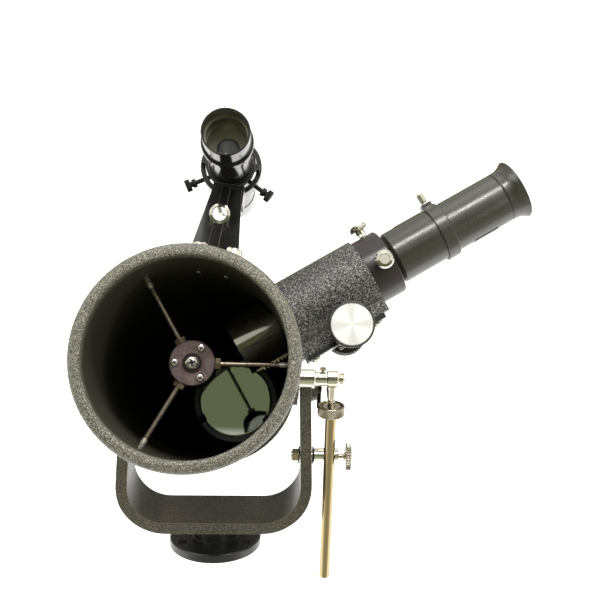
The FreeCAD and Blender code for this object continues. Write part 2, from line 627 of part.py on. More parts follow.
bracket = cut(fuse([ringA, ringB, stk, web, rib, block, foot] + ribs),
              [cyl(tr, 120.0, PL(V(0, 0, 150.0), RO())),
               cyl(15.4, 13.0, PL(V(0, ov, 138.5), RO())),
               cyl(13.35, 30.0, PL(V(0, ov, 150.0), RO())),
               cyl(5.42, 60.0, PL(V(-0.3, 88.7, 150.0), RO())),
               cyl(6.0, 8.0, PL(V(-0.3, 88.7, 186.85), RO())),
               box(-40, 40, 40, 108.0, 100.0, 140.99)]
              + [cyl(2.05, 20.0, radial(k + 90.0 - N["finder_angle"], 45.0, STUD_S)) for k in STUD_A]
              + [cyl(1.45, 40.0, PL(V(0, ov, 146.0), RO()).multiply(radial(k, 0, 0))) for k in (90, 210, 330)]
              + [cyl(5.6, 12.0, radial(k + 90.0 - N["finder_angle"], 56.0, STUD_S)) for k in STUD_A])
keep(bracket, "finder_bracket", B)
turned("bracket_eyelet", [(4.0, 0), (5.4, 0), (5.4, 16.9), (5.9, 16.9), (5.9, 17.7), (4.4, 18.1), (4.0, 17.7)], along(B, x=-0.3, y=88.7, z=170.0))
adj = [(0, 12.9), (0.9, 12.9), (1.4, 13.5), (1.4, 23.0), (2.7, 23.0), (2.7, 25.4), (1.8, 25.4), (1.8, 26.6), (3.5, 26.6), (3.8, 27.0), (3.8, 29.4), (3.4, 29.8), (0, 29.8)]
for nm, k in (("finder_screw_top", 90), ("finder_screw_left", 210), ("finder_screw_right", 330)):
    turned(nm, adj, along(G, z=146.0).multiply(radial(k, 0, 0)))
group("bracket_thumb_screws", solid([(0, 48.8), (1.3, 48.8), (2.0, 49.6), (2.0, 56.0), (5.2, 56.0), (5.2, 57.2), (4.5, 57.6), (4.5, 65.0), (3.9, 65.8), (0, 65.8)]), along(T, z=STUD_S),
      [radial(k, 0, 0) for k in STUD_A])

# ============================================================ cradle and yoke
gR, gH, pf = D["ring_radius"], D["ring_half"], D["pad_face"]
RH = N["ring_half"]
PVX = N["pad_face"]
# anchor of the altitude rod, seen from the pivot, in the tube frame
AX, AN, AS = 83.0, 4.5, 19.4
cradle = cut(fuse([cyl(gR, gH * 2.0, PL(V(0, 0, -RH), RO())),
                   box(-pf, pf, -9.0, 33.0, -RH, RH),
                   cyl(9.0, N["pad_face"] * 2, PL(V(-N["pad_face"], -5.0, 0), TO_X))]),
             [cyl(tr + 0.7, gH * 4, PL(V(0, 0, -2 * RH), RO())),
              cyl(3.0, 140.0, PL(V(-70.0, 0, 0), TO_X)),
              cyl(3.5, 20.0, PL(V(45.0, AN, AS), TO_X))])
keep(cradle, "cradle_ring", T)
keep(cut(cyl(tr + 0.7, gH * 2.0, PL(V(0, 0, -RH), RO())), [cyl(tr, gH * 4, PL(V(0, 0, -2 * RH), RO())), cyl(3.0, 140.0, PL(V(-70.0, 0, 0), TO_X)), cyl(3.5, 20.0, PL(V(45.0, AN, AS), TO_X))]), "cradle_felt", T)

# yoke: a strap bent to a U, arms leaning out slightly towards the bottom
PH = N["pivot_height"]
YB = PH - N["yoke_depth"] - N["yoke_strap"]           # underside of the strap
sp = math.tan(math.radians(N["yoke_splay"]))
wb, dp, st = D["yoke_gap"], D["yoke_depth"], D["yoke_strap"]
top = 12.0
wt = wb - (N["yoke_depth"] + top) * sp
yk = new_body("yoke_blank")
s = new_sketch(yk, "XZ_Plane")
ztop = dp + st + top
poly(s, [(wt * -1, ztop), (wb * -1, st), (wb, st), (wt, ztop), (wt + st, ztop), (wb + st, 0), ((wb + st) * -1, 0), ((wt + st) * -1, ztop)])
pad(yk, s, D["yoke_half"] * 2, mid=True)
doc.recompute()
ed_in, ed_out = [], []
tip = yk.Tip
for i, e in enumerate(tip.Shape.Edges):
    a0, a1 = e.Vertexes[0].Point, e.Vertexes[-1].Point
    if abs(abs(a0.y - a1.y) - 2 * N["yoke_half"]) < 1e-3 and abs(a0.x - a1.x) < 1e-3:
        if abs(a0.z - N["yoke_strap"]) < 1e-3:
            ed_in.append("Edge%d" % (i + 1))
        elif abs(a0.z) < 1e-3:
            ed_out.append("Edge%d" % (i + 1))
fl = yk.newObject("PartDesign::Fillet", "yoke_fillet_in")
fl.Base = (tip, ed_in)
fl.Radius = N["yoke_corner"]
fl.setExpression("Radius", "dims.yoke_corner")
doc.recompute()
ed_out = []
for i, e in enumerate(fl.Shape.Edges):
    a0, a1 = e.Vertexes[0].Point, e.Vertexes[-1].Point
    if abs(abs(a0.y - a1.y) - 2 * N["yoke_half"]) < 1e-3 and abs(a0.x - a1.x) < 1e-3 and abs(a0.z) < 1e-3 and abs(a1.z) < 1e-3:
        ed_out.append("Edge%d" % (i + 1))
f2 = yk.newObject("PartDesign::Fillet", "yoke_fillet_out")
f2.Base = (fl, ed_out)
f2.Radius = N["yoke_corner"] + N["yoke_strap"]
f2.setExpression("Radius", "dims.yoke_corner + dims.yoke_strap")
doc.recompute()
# side profile: the arms narrow towards the pivot and end in a round head
hd = N["head_radius"]
zp = N["yoke_depth"] + N["yoke_strap"]
for sgn in (1, -1):
    s = new_sketch(yk, "YZ_Plane")
    arc = [(sgn * (hd * math.cos(math.radians(x))), zp + hd * math.sin(math.radians(x))) for x in range(0, 90, 10)]
    raw_poly(s, [(sgn * N["yoke_half"], 22.0), (sgn * hd, zp - 15.0)] + arc + [(sgn * 0.4, zp + hd), (sgn * 0.4, zp + 20.0), (sgn * 40.0, zp + 20.0), (sgn * 40.0, 22.0)])
    pocket(yk, s, None)
arm_x = N["yoke_gap"] - N["yoke_depth"] * sp + N["yoke_strap"]        # outer face at the pivot
yk.Placement = PL(V(0, 0, YB), RO())
CY, CZ = -9.6, PH - 50.2                              # clamp post axis
yoke = cut(fuse([yk, cyl(D["spindle_radius"], 18.0, PL(V(0, 0, YB - 13.9), RO())),
                 cone(12.0, 9.8, 6.6, PL(V(arm_x - 2.0, 0, PH), TO_X)),
                 cone(12.0, 9.8, 6.6, PL(V(-arm_x + 2.0, 0, PH), TO_NX))]),
           [cyl(3.06, 200.0, PL(V(-100.0, 0, PH), TO_X)),
            cyl(3.3, 40.0, PL(V(50.0, CY, CZ), TO_X)),
            cyl(2.5, 14.0, PL(V(0, 0, YB - 16.0), RO()))])
keep(yoke, "yoke", PL())
OUT = arm_x - 2.0 + 6.6                               # outer face of the pivot boss

P0 = PL(V(0, 0, PH), RO())
washer = solid([(3.1, 0), (9.5, 0), (9.5, 0.75), (3.1, 0.75)])
flat = solid([(3.1, 0), (6.4, 0), (6.4, 0.9), (3.1, 0.9)])
boltR = solid([(0, 53.4), (3.0, 53.4), (3.0, OUT + 3.2), (2.6, OUT + 3.6), (0, OUT + 3.6)])
boltL = solid([(0, 53.4), (3.0, 53.4), (3.0, OUT + 1.0), (0, OUT + 1.0)]).fuse(hexa(9.6, 5.0).translated(V(0, 0, OUT + 0.1)))
boltL.Placement = PL(V(0, 0, 0), TO_NX)
boltR.Placement = PL(V(0, 0, 0), TO_X)
feature("pivot_bolts", Part.makeCompound([boltR, boltL]), P0)
# lock lever: hub on the bolt with a blade hanging behind the rod
lev = Part.makeCylinder(5.0, 2.9, V(OUT + 0.2, 0, 0), V(1, 0, 0)).fuse(Part.makeBox(2.9, 3.9, 17.5, V(OUT + 0.2, 1.1, -17.5)))
lev = lev.cut(Part.makeCylinder(3.0, 20.0, V(OUT - 2, 0, 0), V(1, 0, 0)))
feature("altitude_lock_lever", lev, P0)

# --------------------------------------------------------- altitude rod gear
SB = PVX
AF = along(T, y=AN, z=AS)                             # rod anchor axis runs along X here
anchor = new_body("anchor_blank")
revolve(anchor, [(0, 51.6), (3.4, 51.6), (3.4, SB), (6.4, SB), (6.9, SB + 0.5), (6.9, 69.9), (6.3, 70.6), (5.2, 70.8), (5.2, 78.4), (3.0, 78.4), (3.0, 87.4), (2.0, 87.4), (2.0, 91.8), (0, 91.8)])
anchor.Placement = PL(V(0, 0, 0), TO_X)
set_x = 76.0
up = RO(V(1, 0, 0), -(90.0 - ALT))                    # world up as seen in the tube frame
keep(cut(anchor, [cyl(1.0, 10.0, PL(V(set_x, 0, 0), up).multiply(PL(V(0, 0, 2.6), RO())))]), "rod_anchor", AF)
SMALL.append((solid([(0, 2.7), (1.0, 2.7), (1.0, 6.0), (1.5, 6.6), (2.4, 6.6), (2.4, 8.3), (0, 8.3)]), AF.multiply(PL(V(set_x, 0, 0), up))))
turned("anchor_thumb_nut", [(2.0, 0), (4.6, 0), (4.9, 0.5), (3.6, 1.6), (4.9, 2.9), (4.5, 3.4), (2.0, 3.4)], along(AF, x=87.7, rot=TO_X))
# world position of the swivel centre and the rod's direction
AW = AF.multVec(V(AX, 0, 0))
CW = V(AX, CY, CZ)
dy, dz = CW.y - AW.y, AW.z - CW.z
LL = math.hypot(dy, dz)
psi = math.atan2(dy, dz) - math.asin(N["rod_offset"] / LL)
RD = PL(AW, RO(V(1, 0, 0), 180.0 + math.degrees(psi)))     # local +Z runs down the rod
neck = new_body("neck_blank")
revolve(neck, [(0, -2.0), (4.6, -2.0), (4.6, 5.5), (4.3, 7.0), (3.1, 15.5), (2.6, 16.6), (2.6, 21.5), (2.2, 22.0), (2.2, 24.2), (0, 24.2)])
ball = doc.addObject("Part::Sphere", "eye_ball")
ball.Radius = 6.9
eye = common(cyl(6.1, 8.2, PL(V(-4.1, 0, 0), TO_X)), ball)
swivel = cut(fuse([neck, eye]), [cyl(3.06, 30.0, PL(V(-15.0, 0, 0), TO_X)), box(-12.0, -4.1, -8, 8, -8, 12), box(4.1, 12.0, -8, 8, -8, 12)])
keep(swivel, "rod_swivel", RD)
turned("fine_wheel", [(2.9, 20.6), (7.0, 20.6), (8.6, 20.4), (9.4, 20.2), (9.9, 20.9), (9.9, 27.2), (9.4, 28.0), (5.0, 28.4), (4.3, 28.4), (4.3, 25.0), (2.9, 25.0)], RD)
turned("altitude_rod", [(0, 24.25), (2.3, 24.25), (2.3, 25.4), (D["rod_radius"], 25.4), (D["rod_radius"], D["rod_length"] + 24.0), (D["rod_radius"] - 0.8, D["rod_length"] + 25.0), (0, D["rod_length"] + 25.0)], RD)
# clamp post: turns on its own stud through the arm, slot open to the front
arm_c = N["yoke_gap"] - 50.2 * sp + N["yoke_strap"] + 0.1
CP = PL(V(0, CY, CZ), RO(V(1, 0, 0), math.degrees(psi)))
postb = new_body("post_blank")
revolve(postb, [(0, 55.0), (3.0, 55.0), (3.0, arm_c + 1.3), (4.6, arm_c + 1.3), (5.1, arm_c + 1.8), (5.1, 89.0), (4.6, 89.6), (0, 89.6)])
postb.Placement = PL(V(0, 0, 0), TO_X)
ro, rod = N["rod_offset"], N["rod_radius"]
post = cut(postb, [box(AX - rod - 0.15, AX + rod + 0.15, -20.0, -ro + rod + 1.2, -10.0, 10.0), cyl(2.0, 20.0, PL(V(AX + 2.0, -ro * 0.55, 0), TO_X))])
keep(post, "clamp_post", CP)
SY = -ro * 0.55
turned("clamp_thumb_screw", [(0, AX + rod + 0.3), (1.9, AX + rod + 0.3), (1.9, 93.6), (3.4, 93.6), (3.4, 94.8), (9.8, 95.0), (10.4, 95.6), (10.4, 98.6), (9.8, 99.3), (4.0, 99.6), (0, 99.6)], along(CP, y=SY, rot=TO_X))
inner_c = N["yoke_gap"] - 50.2 * sp
out = []
for base, at in ((washer, PL(V(PVX, 0, 0), TO_X)), (washer, PL(V(-PVX, 0, 0), TO_NX)),
                 (flat, PL(V(arm_c + 0.3, CY, CZ - PH), TO_X)), (flat, PL(V(inner_c - 1.4, CY, CZ - PH), TO_X))):
    c = base.copy()
    c.Placement = at
    out.append(c)
feature("washers", Part.makeCompound(out), P0)
out = []
for base, at in SMALL:
    c = base.copy()
    c.Placement = at
    out.append(c)
feature("small_screws", Part.makeCompound(out))
feature("post_nut", hexa(8.6, 4.6, 3.0), CP.multiply(PL(V(55.75, 0, 0), TO_X)))

# ================================================================ azimuth base
bR2, bF, bH = D["base_radius"], D["base_flange"], D["base_height"]
ab = new_body("base_blank")
revolve(ab, [(13.2, 0), (bR2 - 0.8, 0), (bR2, 0.8), (bR2, bF - 0.8), (bR2 - 0.8, bF), (17.6, bF), (17.0, bF + 0.6), (17.0, bH), (D["spindle_radius"] + 0.06, bH), (D["spindle_radius"] + 0.06, 5.2), (13.2, 5.2)])
s = new_sketch(ab, "XY_Plane")
for k in (90, 210, 330):
    circle(s, D["base_circle"] * math.cos(math.radians(k)), D["base_circle"] * math.sin(math.radians(k)), D["base_hole"])
pocket(ab, s, None)
keep(cut(ab, [cyl(2.5, 30.0, PL(V(0, 8.0, 12.6), TO_Y))]), "azimuth_base", PL())
sb = YB - 13.9                                        # lower end of the spindle
feature("azimuth_retaining_screw", hexa(7.0, 1.3).translated(V(0, 0, -2.4)).fuse(Part.makeCylinder(2.5, 12.0, V(0, 0, -1.4))).fuse(Part.makeCylinder(12.6, 1.4, V(0, 0, -1.4))), PL(V(0, 0, sb), RO()))
turned("azimuth_lock_knob", [(0, 10.4), (1.9, 10.4), (2.5, 11.0), (2.5, 20.5), (4.0, 20.5), (4.8, 22.0), (4.8, 30.5), (4.2, 31.3), (0, 31.3)], PL(V(0, 0, 12.6), TO_Y))

# ------------------------------------------------------------------- output
doc.recompute()
bad = []
for o in doc.Objects:
    if any(x in ("Invalid", "Error") for x in o.State):
        bad.append(o.Name)
if bad:
    raise RuntimeError("failed objects: %s" % bad)
for o, label in NODES:
    sh = o.Shape
    if sh.isNull() or not sh.isValid() or not sh.Solids:
        raise RuntimeError("bad shape: " + label)
for o, label in NODES:
    sh = o.Shape
    sh.exportStep("parts/%s.step" % label)
print(len(NODES), "nodes")
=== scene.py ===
import math
import bpy, bmesh
from mathutils import Matrix, Vector


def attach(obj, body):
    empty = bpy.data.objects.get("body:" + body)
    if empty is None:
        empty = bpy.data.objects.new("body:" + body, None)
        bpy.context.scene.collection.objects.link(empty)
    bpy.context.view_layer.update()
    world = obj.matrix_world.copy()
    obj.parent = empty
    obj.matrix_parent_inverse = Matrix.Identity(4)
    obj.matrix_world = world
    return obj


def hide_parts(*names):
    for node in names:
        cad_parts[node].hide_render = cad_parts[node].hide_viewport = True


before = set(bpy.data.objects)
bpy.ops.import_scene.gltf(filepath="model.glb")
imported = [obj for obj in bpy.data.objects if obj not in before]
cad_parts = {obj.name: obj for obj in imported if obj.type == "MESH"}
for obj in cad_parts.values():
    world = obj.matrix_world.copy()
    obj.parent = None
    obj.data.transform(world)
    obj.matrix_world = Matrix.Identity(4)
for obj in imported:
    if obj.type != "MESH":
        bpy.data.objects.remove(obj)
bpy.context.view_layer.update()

MM = 0.001
scene = bpy.context.scene

# ------------------------------------------------------------------ frames
def rot(axis, deg):
    return Matrix.Rotation(math.radians(deg), 4, axis)

def mv(x=0, y=0, z=0):
    return Matrix.Translation(Vector((x, y, z)) * MM)

ALT = 21.8
T = mv(0, 0, 126) @ rot("X", 90 - ALT)
fa = math.radians(31.2)
FX = Vector((math.sin(fa), -math.cos(fa), 0)); FY = Vector((0, 0, -1)); FZ = Vector((math.cos(fa), math.sin(fa), 0))
Floc = Matrix(((FX.x, FY.x, FZ.x, 0), (FX.y, FY.y, FZ.y, 0), (FX.z, FY.z, FZ.z, 0), (0, 0, 0, 1)))
F = T @ mv(0, 0, 186.6) @ Floc
B = T @ rot("Z", 84.35 - 90)
G = B @ mv(0, 125.8, 0)
TO_X, TO_NX, TO_Y, TO_NY = rot("Y", 90), rot("Y", -90), rot("X", -90), rot("X", 90)

def radial(deg, z=0):
    return mv(0, 0, z) @ rot("Z", deg) @ TO_X

# --------------------------------------------------------------- materials
def new_mat(name):
    m = bpy.data.materials.new(name)
    m.use_nodes = True
    nt = m.node_tree
    b = nt.nodes["Principled BSDF"]
    return m, nt, b

def coords(nt):
    return nt.nodes.new("ShaderNodeTexCoord").outputs["Object"]

def noise(nt, scale, detail=3.0, rough=0.55, dist=0.0, vec=None):
    n = nt.nodes.new("ShaderNodeTexNoise")
    n.inputs["Scale"].default_value = scale
    n.inputs["Detail"].default_value = detail
    n.inputs["Roughness"].default_value = rough
    n.inputs["Distortion"].default_value = dist
    nt.links.new(vec or coords(nt), n.inputs["Vector"])
    return n.outputs["Fac"]

def ramp(nt, fac, stops):
    r = nt.nodes.new("ShaderNodeValToRGB")
    e = r.color_ramp.elements
    while len(e) < len(stops):
        e.new(0.5)
    for k, (p, c) in enumerate(stops):
        e[k].position = p
        e[k].color = (c[0], c[1], c[2], 1) if isinstance(c, (tuple, list)) else (c, c, c, 1)
    nt.links.new(fac, r.inputs["Fac"])
    return r.outputs["Color"]

def bump(nt, b, height, strength, distance):
    n = nt.nodes.new("ShaderNodeBump")
    n.inputs["Strength"].default_value = strength
    n.inputs["Distance"].default_value = distance
    nt.links.new(height, n.inputs["Height"])
    nt.links.new(n.outputs["Normal"], b.inputs["Normal"])
    return n

def math_node(nt, op, a, b=None, clamp=False):
    n = nt.nodes.new("ShaderNodeMath")
    n.operation = op
    n.use_clamp = clamp
    for k, v in enumerate((a, b)):
        if v is None:
            continue
        if isinstance(v, (int, float)):
            n.inputs[k].default_value = v
        else:
            nt.links.new(v, n.inputs[k])
    return n.outputs[0]

def mixc(nt, fac, a, b):
    n = nt.nodes.new("ShaderNodeMix")
    n.data_type = "RGBA"
    for sock, v in ((n.inputs[0], fac), (n.inputs[6], a), (n.inputs[7], b)):
        if isinstance(v, (int, float)):
            sock.default_value = v
        elif isinstance(v, tuple):
            sock.default_value = (*v, 1)
        else:
            nt.links.new(v, sock)
    return n.outputs[2]

def radius_from(nt, mat):
    """distance from the local Z axis of a frame, in metres, and the height along it"""
    vec = coords(nt)
    inv = mat.inverted()
    p = nt.nodes.new("ShaderNodeVectorMath"); p.operation = "SUBTRACT"
    p.inputs[1].default_value = mat.translation
    nt.links.new(vec, p.inputs[0])
    axis = (mat.to_3x3() @ Vector((0, 0, 1)))
    d = nt.nodes.new("ShaderNodeVectorMath"); d.operation = "DOT_PRODUCT"
    d.inputs[1].default_value = axis
    nt.links.new(p.outputs[0], d.inputs[0])
    c = nt.nodes.new("ShaderNodeVectorMath"); c.operation = "CROSS_PRODUCT"
    c.inputs[1].default_value = axis
    nt.links.new(p.outputs[0], c.inputs[0])
    ln = nt.nodes.new("ShaderNodeVectorMath"); ln.operation = "LENGTH"
    nt.links.new(c.outputs[0], ln.inputs[0])
    return ln.outputs["Value"], d.outputs["Value"], p.outputs[0]

def edge_wear_and_highlight(nt, amount=0.35, distance=0.0007):
    """1 on convex edges; mask for lighter rims painted on edges, partly rubbed wear and partly painted edge highlight
    """
    bev = nt.nodes.new("ShaderNodeBevel")
    bev.inputs["Radius"].default_value = distance
    bev.samples = 4
    geo = nt.nodes.new("ShaderNodeNewGeometry")
    d = nt.nodes.new("ShaderNodeVectorMath"); d.operation = "DOT_PRODUCT"
    nt.links.new(bev.outputs["Normal"], d.inputs[0])
    nt.links.new(geo.outputs["Normal"], d.inputs[1])
    k = math_node(nt, "SUBTRACT", 1.0, d.outputs["Value"])
    return math_node(nt, "MULTIPLY", k, amount / 0.15, clamp=True)

def wrinkle(name, dark, mid, light, scale=900.0, strength=0.75, rough=0.42, dist=0.0004, edge_wear_highlight=None):
    """stoved wrinkle enamel: close crests on a dark ground, the crests painted light as glints following the bump
    pattern
    """
    m, nt, b = new_mat(name)
    v = nt.nodes.new("ShaderNodeTexVoronoi")
    v.feature = "SMOOTH_F1"
    v.inputs["Scale"].default_value = scale
    v.inputs["Smoothness"].default_value = 0.6
    co = coords(nt)
    nt.links.new(co, v.inputs["Vector"])
    n1 = noise(nt, scale * 0.75, 4.0, 0.6, 0.9, co)
    mixh = math_node(nt, "ADD", math_node(nt, "MULTIPLY", v.outputs["Distance"], 0.7), math_node(nt, "MULTIPLY", n1, 0.75))
    big = noise(nt, 55.0, 2.0, 0.5, 0.0, co)
    # crests painted up to the light colour: painted glints on the wrinkles; the ground colour and big tone noise are
    # the enamel's own
    col = ramp(nt, mixh, [(0.42, dark), (0.66, mid), (0.9, light)])
    col = mixc(nt, math_node(nt, "MULTIPLY", big, 0.35), col, tuple(x * 0.55 for x in mid))
    if edge_wear_highlight:
        # convex edges painted lighter: partly rubbed wear, partly painted edge highlight
        col = mixc(nt, edge_wear_and_highlight(nt, 0.5, 0.0005), col, edge_wear_highlight)
    nt.links.new(col, b.inputs["Base Color"])
    b.inputs["Roughness"].default_value = rough
    b.inputs["Specular IOR Level"].default_value = 0.55
    bump(nt, b, mixh, strength, dist)
    return m

def satin(name, col, rough=0.33, grain=1800.0, strength=0.12, spec=0.5, coat=0.0, vary=0.25, edge_wear_highlight=None):
    m, nt, b = new_mat(name)
    co = coords(nt)
    g = noise(nt, grain, 3.0, 0.6, 0.0, co)
    big = noise(nt, 70.0, 4.0, 0.6, 0.3, co)
    c = mixc(nt, math_node(nt, "MULTIPLY", big, vary * 2), tuple(col), tuple(x * 1.7 + 0.004 for x in col))
    if edge_wear_highlight:
        # convex edges painted lighter: partly rubbed wear, partly painted edge highlight
        c = mixc(nt, edge_wear_and_highlight(nt, 0.35, 0.0004), c, edge_wear_highlight)
    nt.links.new(c, b.inputs["Base Color"])
    r = nt.nodes.new("ShaderNodeMapRange")
    r.inputs["To Min"].default_value = rough * 0.8
    r.inputs["To Max"].default_value = rough * 1.25
    nt.links.new(big, r.inputs["Value"])
    nt.links.new(r.outputs["Result"], b.inputs["Roughness"])
    b.inputs["Specular IOR Level"].default_value = spec
    b.inputs["Coat Weight"].default_value = coat
    b.inputs["Coat Roughness"].default_value = 0.08
    bump(nt, b, g, strength, 0.00012)
    return m

def metal(name, col, rough=0.12, streak=None, strength=0.05, spots=0.3):
    """plated or turned metal with faint handling marks"""
    m, nt, b = new_mat(name)
    co = coords(nt)
    fine = noise(nt, 900.0, 4.0, 0.65, 0.2, co)
    big = noise(nt, 160.0, 4.0, 0.6, 0.6, co)
    c = mixc(nt, math_node(nt, "MULTIPLY", big, spots), tuple(col), tuple(x * 0.72 for x in col))
    nt.links.new(c, b.inputs["Base Color"])
    b.inputs["Metallic"].default_value = 1.0
    r = nt.nodes.new("ShaderNodeMapRange")
    r.inputs["To Min"].default_value = rough * 0.6
    r.inputs["To Max"].default_value = rough * 1.6
    nt.links.new(fine, r.inputs["Value"])
    nt.links.new(r.outputs["Result"], b.inputs["Roughness"])
    bump(nt, b, fine, strength, 0.0001)
    return m

M = {}
M["wrinkle"] = wrinkle("wrinkle_ring", (0.012, 0.011, 0.009), (0.078, 0.074, 0.058), (0.36, 0.345, 0.285), 1700.0, 0.75, 0.45, 0.0003)
M["wrinkle_dark"] = wrinkle("wrinkle_housing", (0.003, 0.003, 0.0035), (0.010, 0.010, 0.010), (0.24, 0.24, 0.225), 1300.0, 1.0, 0.24, 0.00035)
M["textured"] = wrinkle("textured_yoke", (0.014, 0.012, 0.009), (0.052, 0.046, 0.034), (0.20, 0.18, 0.14), 1500.0, 0.6, 0.36, 0.00025, edge_wear_highlight=(0.42, 0.39, 0.31))
M["satin"] = satin("satin_black", (0.012, 0.0125, 0.012), 0.27, 2200.0, 0.03, 0.6)
M["barrel"] = satin("satin_barrel", (0.019, 0.0185, 0.0135), 0.27, 2600.0, 0.05, 0.85)
M["collar"] = satin("purple_black", (0.016, 0.011, 0.0125), 0.3, 2400.0, 0.03, 0.55)
# near-black for blocks that stand in for the shade inside screw recesses
M["recess"] = satin("recess_black", (0.006, 0.006, 0.006), 0.7, 900.0, 0.0, 0.1)
M["gloss"] = satin("gloss_black", (0.008, 0.0075, 0.006), 0.17, 1500.0, 0.0, 0.6, 0.35, 0.15)
M["moulded"] = satin("moulded_black", (0.008, 0.008, 0.007), 0.22, 1200.0, 0.05, 0.5, 0.2, 0.2, edge_wear_highlight=(0.26, 0.25, 0.21))
M["knurl_black"] = satin("knurl_black", (0.014, 0.013, 0.012), 0.25, 1200.0, 0.0, 0.6, 0.0, 0.2, edge_wear_highlight=(0.42, 0.39, 0.31))
M["wheel"] = metal("wheel_steel", (0.36, 0.325, 0.255), 0.22, strength=0.0)
M["rubber"] = satin("rubber", (0.018, 0.017, 0.015), 0.5, 1600.0, 0.25, 0.4)
M["dull"] = satin("dull_black", (0.010, 0.010, 0.010), 0.6, 900.0, 0.2, 0.3)
M["chrome"] = metal("chrome", (0.80, 0.77, 0.66), 0.11, strength=0.0)
M["rod"] = metal("chrome_rod", (0.46, 0.375, 0.215), 0.10, strength=0.0, spots=0.15)
M["rodspider"] = metal("plated_rods", (0.36, 0.30, 0.225), 0.3, strength=0.0, spots=0.3)
M["steel"] = metal("steel", (0.56, 0.53, 0.45), 0.2, strength=0.0)
M["brass"] = metal("brass_nut", (0.46, 0.38, 0.24), 0.26, strength=0.0)
M["dark_chrome"] = metal("dark_chrome", (0.42, 0.40, 0.35), 0.10, strength=0.0)
M["black_steel"] = metal("black_steel", (0.03, 0.028, 0.025), 0.3)
M["alu"] = metal("machined_aluminium", (0.55, 0.55, 0.54), 0.32, strength=0.2)

m, nt, b = new_mat("spider_rod_plating")
r, s_, _ = radius_from(nt, T)
endz = math_node(nt, "GREATER_THAN", r, 0.0440)
n1 = noise(nt, 700.0, 3.0, 0.6)
shaft = ramp(nt, n1, [(0.3, (0.24, 0.19, 0.14)), (0.7, (0.46, 0.40, 0.31))])
nt.links.new(mixc(nt, endz, shaft, (0.92, 0.88, 0.78)), b.inputs["Base Color"])
b.inputs["Metallic"].default_value = 0.85
nt.links.new(math_node(nt, "ADD", math_node(nt, "MULTIPLY", endz, 0.08), 0.28), b.inputs["Roughness"])
M["rodspider"] = m

# screws of the hub: bright heads; the centre washer band is painted near-black as the thin shade ring around the centre
# head
m, nt, b = new_mat("hub_screws")
r, s_, _ = radius_from(nt, T)
washer_shade_band = math_node(nt, "MULTIPLY", math_node(nt, "GREATER_THAN", r, 0.00345), math_node(nt, "LESS_THAN", r, 0.0054))
n1 = noise(nt, 500.0, 3.0, 0.5)
# washer band painted dark: painted shade ring around the centre screw head
nt.links.new(mixc(nt, washer_shade_band, mixc(nt, n1, (0.62, 0.59, 0.53), (0.48, 0.46, 0.42)), (0.035, 0.026, 0.027)), b.inputs["Base Color"])
b.inputs["Metallic"].default_value = 0.9
nt.links.new(math_node(nt, "ADD", math_node(nt, "MULTIPLY", washer_shade_band, 0.2), 0.2), b.inputs["Roughness"])
M["hub_screws"] = m

# faded purple-brown anodised hub, mottled
m, nt, b = new_mat("hub_anodised")
co = coords(nt)
n1 = noise(nt, 120.0, 7.0, 0.72, 1.5, co)
n2 = noise(nt, 1400.0, 3.0, 0.6, 0.0, co)
c = ramp(nt, n1, [(0.3, (0.075, 0.05, 0.05)), (0.5, (0.15, 0.105, 0.105)), (0.72, (0.27, 0.21, 0.20))])
nt.links.new(mixc(nt, math_node(nt, "MULTIPLY", n2, 0.3), c, (0.07, 0.05, 0.052)), b.inputs["Base Color"])
b.inputs["Metallic"].default_value = 0.55
b.inputs["Roughness"].default_value = 0.42
bump(nt, b, n2, 0.2, 0.0001)
M["hub"] = m

# tube: gloss enamel outside, flat black inside
m, nt, b = new_mat("tube_enamel")
r, s, _ = radius_from(nt, T)
inside = math_node(nt, "LESS_THAN", r, 0.0506)
n1 = noise(nt, 260.0, 4.0, 0.6, 0.2)
dust = ramp(nt, noise(nt, 700.0, 2.0, 0.5), [(0.66, 0.0), (0.74, 0.02)])
base = mixc(nt, inside, (0.0065, 0.0065, 0.006), (0.062, 0.058, 0.042))
add = nt.nodes.new("ShaderNodeMix"); add.data_type = "RGBA"; add.blend_type = "ADD"
add.inputs[0].default_value = 0.5
nt.links.new(base, add.inputs[6]); nt.links.new(dust, add.inputs[7])
nt.links.new(add.outputs[2], b.inputs["Base Color"])
rr = math_node(nt, "ADD", math_node(nt, "MULTIPLY", inside, 0.50), math_node(nt, "MULTIPLY", n1, 0.14))
nt.links.new(math_node(nt, "ADD", rr, 0.05), b.inputs["Roughness"])
b.inputs["Specular IOR Level"].default_value = 0.55
bump(nt, b, n1, 0.04, 0.0002)
M["tube"] = m

# spun aluminium: fine concentric turning; the soft X-shaped sheen is painted into the colour by angle around the knob
# axis
KNOB = F @ mv(22.4, 0, 83.0)
m, nt, b = new_mat("spun_aluminium")
kf = KNOB @ TO_NY
r, h, p = radius_from(nt, kf)
xa = kf.to_3x3() @ Vector((1, 0, 0)); ya = kf.to_3x3() @ Vector((0, 1, 0))
def dot(nt, v, a):
    d = nt.nodes.new("ShaderNodeVectorMath"); d.operation = "DOT_PRODUCT"
    d.inputs[1].default_value = a
    nt.links.new(v, d.inputs[0])
    return d.outputs["Value"]
ang = math_node(nt, "ARCTAN2", dot(nt, p, ya), dot(nt, p, xa))
